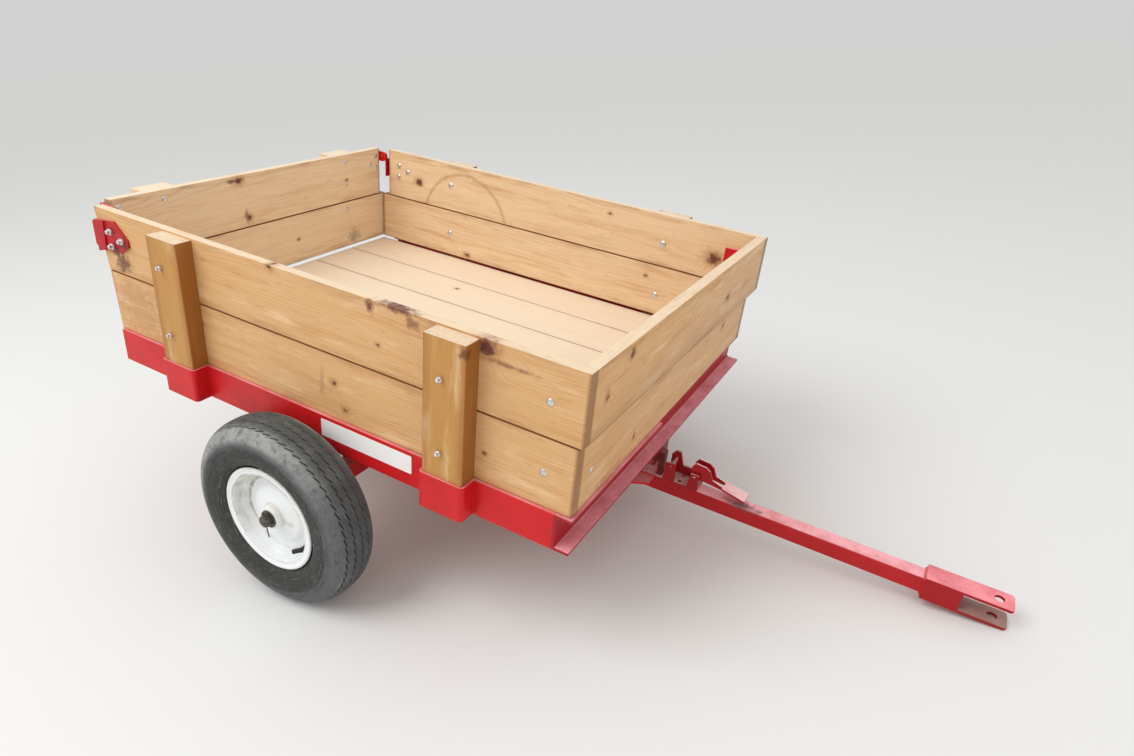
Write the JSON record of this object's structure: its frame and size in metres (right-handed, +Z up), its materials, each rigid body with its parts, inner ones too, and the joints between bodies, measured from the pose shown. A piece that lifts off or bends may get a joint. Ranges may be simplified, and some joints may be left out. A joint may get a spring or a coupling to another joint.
{
  "type": "garden dump trailer",
  "caption": "Small two-wheel garden trailer with a wooden plank box that tips to the rear, a hinged tailgate, a foot latch and a clevis hitch.",
  "frame": {"origin": "centre of the bounding box's foot, on the ground between the wheels and the hitch", "axes": "+X along the ground towards the hitch, +Y to the left of travel, +Z up; the trailer is stored nose down with its clevis on the ground, as it parks"},
  "size_m": [1.9756, 1.23, 0.7859],
  "materials": {
    "honey_wood": "oiled softwood planks with dark knots",
    "floor_wood": "paler worn softwood boards",
    "red_paint": "red enamel with dust and light wear",
    "bare_steel": "dull plated steel",
    "cream_paint": "cream white enamel",
    "tyre": "dusty black rubber"
  },
  "bodies": {
    "chassis": {"axle_beam": "red_paint", "pivot_lug_right": "red_paint", "pivot_lug_left": "red_paint", "tongue_tube": "red_paint", "tongue_brace_right": "red_paint", "tongue_brace_left": "red_paint", "hitch_sleeve": "red_paint", "clevis_ear_lower": "red_paint", "clevis_ear_upper": "red_paint", "latch_bracket": "red_paint", "latch_pedal": "red_paint", "axle_shaft": "bare_steel", "axle_washer_right": "bare_steel", "axle_washer_left": "bare_steel"},
    "bed": {"front_plank_lower": "honey_wood", "front_plank_upper": "honey_wood", "side_plank_right_lower": "honey_wood", "side_plank_right_upper": "honey_wood", "side_plank_left_lower": "honey_wood", "side_plank_left_upper": "honey_wood", "floor_board_1": "floor_wood", "floor_board_2": "floor_wood", "floor_board_3": "floor_wood", "floor_board_4": "floor_wood", "floor_board_5": "floor_wood", "floor_board_6": "floor_wood", "stake_right_rear": "honey_wood", "stake_right_front": "honey_wood", "stake_left_rear": "honey_wood", "stake_left_front": "honey_wood", "side_strap_right": "red_paint", "side_strap_left": "red_paint", "front_channel": "red_paint", "cross_member_rear": "red_paint", "cross_member_mid_rear": "red_paint", "cross_member_mid_front": "red_paint", "cross_member_front": "red_paint", "bed_rail_right": "red_paint", "bed_rail_left": "red_paint", "bed_striker": "red_paint", "corner_angle_right": "red_paint", "corner_angle_left": "red_paint", "hinge_plate_right": "red_paint", "hinge_plate_left": "red_paint"},
    "tailgate": {"tailgate_plank_lower": "honey_wood", "tailgate_plank_upper": "honey_wood", "tailgate_batten_right": "honey_wood", "tailgate_batten_left": "honey_wood", "gate_bracket_right": "red_paint", "gate_bracket_left": "red_paint"},
    "wheel_right": {"tyre_right": "tyre", "wheel_disc_right": "cream_paint"},
    "wheel_left": {"tyre_left": "tyre", "wheel_disc_left": "cream_paint"}
  },
  "joints": [
    {"name": "bed_tilt", "type": "hinge", "parent": "chassis", "child": "bed", "pos_m": [-0.33905, 0, 0.27927], "axis": [0, -1, 0], "range_deg": [0, 35]},
    {"name": "tailgate_swing", "type": "hinge", "parent": "bed", "child": "tailgate", "pos_m": [-0.88674, 0, 0.7538], "axis": [0, 1, 0], "range_deg": [0, 100]},
    {"name": "wheel_right_spin", "type": "hinge", "parent": "chassis", "child": "wheel_right", "pos_m": [-0.34922, -0.558, 0.209], "axis": [0, 1, 0], "continuous": true},
    {"name": "wheel_left_spin", "type": "hinge", "parent": "chassis", "child": "wheel_left", "pos_m": [-0.34922, 0.558, 0.209], "axis": [0, 1, 0], "continuous": true}
  ]
}
